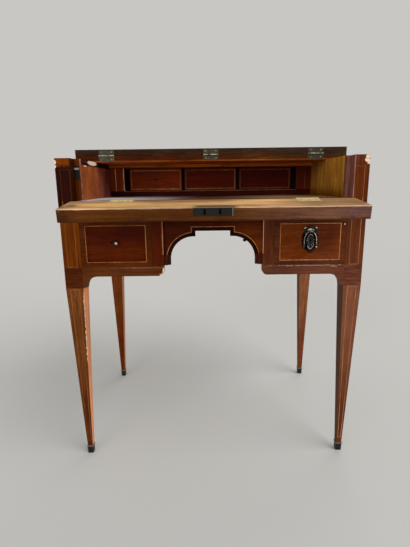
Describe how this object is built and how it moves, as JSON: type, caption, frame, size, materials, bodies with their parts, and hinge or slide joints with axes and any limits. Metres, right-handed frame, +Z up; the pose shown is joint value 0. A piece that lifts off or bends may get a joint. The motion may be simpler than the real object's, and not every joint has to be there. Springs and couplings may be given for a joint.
{
  "type": "writing desk",
  "caption": "Small writing desk on tapered legs with arched kneehole, side drawers, sliding bed with hinged fall, fold-back top and inner drawers.",
  "frame": {"origin": "on the floor, in the middle of the outline of the open desk", "axes": "+X to the right seen from the front, +Y towards the back, +Z up"},
  "size_m": [0.816, 0.6798, 0.9124],
  "materials": {
    "mahogany_veneer": "french polished, worn",
    "secondary_wood": "bare, aged",
    "ebonised_wood": "blackened",
    "bare_bed_wood": "bare, rubbed pale",
    "bare_lining_wood": "bare, aged",
    "aged_brass": "tarnished",
    "aged_iron": "dark, rubbed",
    "dark_bronze": "dark patina"
  },
  "bodies": {
    "case": {"front_left_leg": "mahogany_veneer", "rear_left_leg": "mahogany_veneer", "left_side_panel": "mahogany_veneer", "left_bay_lining": "mahogany_veneer", "left_kneehole_side": "mahogany_veneer", "left_bottom_rail": "mahogany_veneer", "front_right_leg": "mahogany_veneer", "rear_right_leg": "mahogany_veneer", "right_side_panel": "mahogany_veneer", "right_bay_lining": "bare_lining_wood", "right_kneehole_side": "mahogany_veneer", "right_bottom_rail": "mahogany_veneer", "leg_sabots": "aged_iron", "side_fillers": "secondary_wood", "box_bottoms": "secondary_wood", "box_backs": "secondary_wood", "inner_stiles": "mahogany_veneer", "drawer_guides": "secondary_wood", "bed_runners": "secondary_wood", "back_panel": "secondary_wood", "front_top_rail": "mahogany_veneer", "kneehole_apron": "mahogany_veneer", "apron_drop_blocks": "ebonised_wood", "gradin_floor": "mahogany_veneer", "gradin_top": "mahogany_veneer", "gradin_stiles": "mahogany_veneer", "gradin_partitions": "secondary_wood", "top_rear_board": "mahogany_veneer", "lid_hinge_fixed_leaves": "aged_brass", "lid_hinge_pins": "aged_brass", "fall_catch": "aged_iron"},
    "writing_slide": {"writing_bed": "bare_bed_wood", "fall_hinge_bed_leaves": "aged_brass", "fall_hinge_pins": "aged_brass"},
    "fall": {"fall_board": "bare_bed_wood", "fall_hinge_leaves": "aged_brass", "lock_plate": "aged_iron", "lock_case": "aged_iron"},
    "lock_bolt": {"lock_bolt": "aged_iron"},
    "lid": {"lid_leaf": "mahogany_veneer", "lid_hinge_moving_leaves": "aged_brass", "lid_link_plate": "aged_iron"},
    "left_drawer": {"left_drawer_front": "mahogany_veneer", "left_drawer_carcase": "secondary_wood", "left_drawer_bottom": "secondary_wood", "left_drawer_knob": "dark_bronze"},
    "right_drawer": {"right_drawer_front": "mahogany_veneer", "right_drawer_carcase": "secondary_wood", "right_drawer_bottom": "secondary_wood", "right_drawer_ornament": "dark_bronze", "right_drawer_lock": "aged_iron"},
    "left_small_drawer": {"left_small_drawer_front": "mahogany_veneer", "left_small_drawer_carcase": "secondary_wood", "left_small_drawer_bottom": "secondary_wood"},
    "middle_small_drawer": {"middle_small_drawer_front": "mahogany_veneer", "middle_small_drawer_carcase": "secondary_wood", "middle_small_drawer_bottom": "secondary_wood"},
    "right_small_drawer": {"right_small_drawer_front": "mahogany_veneer", "right_small_drawer_carcase": "secondary_wood", "right_small_drawer_bottom": "secondary_wood"}
  },
  "joints": [
    {"name": "bed_slide", "type": "slide", "parent": "case", "child": "writing_slide", "axis": [0, 1, 0], "range_m": [0, 0.0525]},
    {"name": "fall_hinge", "type": "hinge", "parent": "writing_slide", "child": "fall", "pos_m": [0, -0.2341, 0.7545], "axis": [-1, 0, 0], "range_deg": [0, 97]},
    {"name": "lock_bolt_slide", "type": "slide", "parent": "fall", "child": "lock_bolt", "axis": [-1, 0, 0], "range_m": [0, 0.005]},
    {"name": "lid_hinge", "type": "hinge", "parent": "case", "child": "lid", "pos_m": [0, -0.0136, 0.88025], "axis": [1, 0, 0], "range_deg": [0, 180]},
    {"name": "left_drawer_slide", "type": "slide", "parent": "case", "child": "left_drawer", "axis": [0, -1, 0], "range_m": [0, 0.13]},
    {"name": "right_drawer_slide", "type": "slide", "parent": "case", "child": "right_drawer", "axis": [0, -1, 0], "range_m": [0, 0.13]},
    {"name": "left_small_drawer_slide", "type": "slide", "parent": "case", "child": "left_small_drawer", "axis": [0, -1, 0], "range_m": [0, 0.1]},
    {"name": "middle_small_drawer_slide", "type": "slide", "parent": "case", "child": "middle_small_drawer", "axis": [0, -1, 0], "range_m": [0, 0.1]},
    {"name": "right_small_drawer_slide", "type": "slide", "parent": "case", "child": "right_small_drawer", "axis": [0, -1, 0], "range_m": [0, 0.1]}
  ],
  "couplings": [
    {"joint": "fall_hinge", "follows": "bed_slide", "rad_per_m": 32.246}
  ]
}
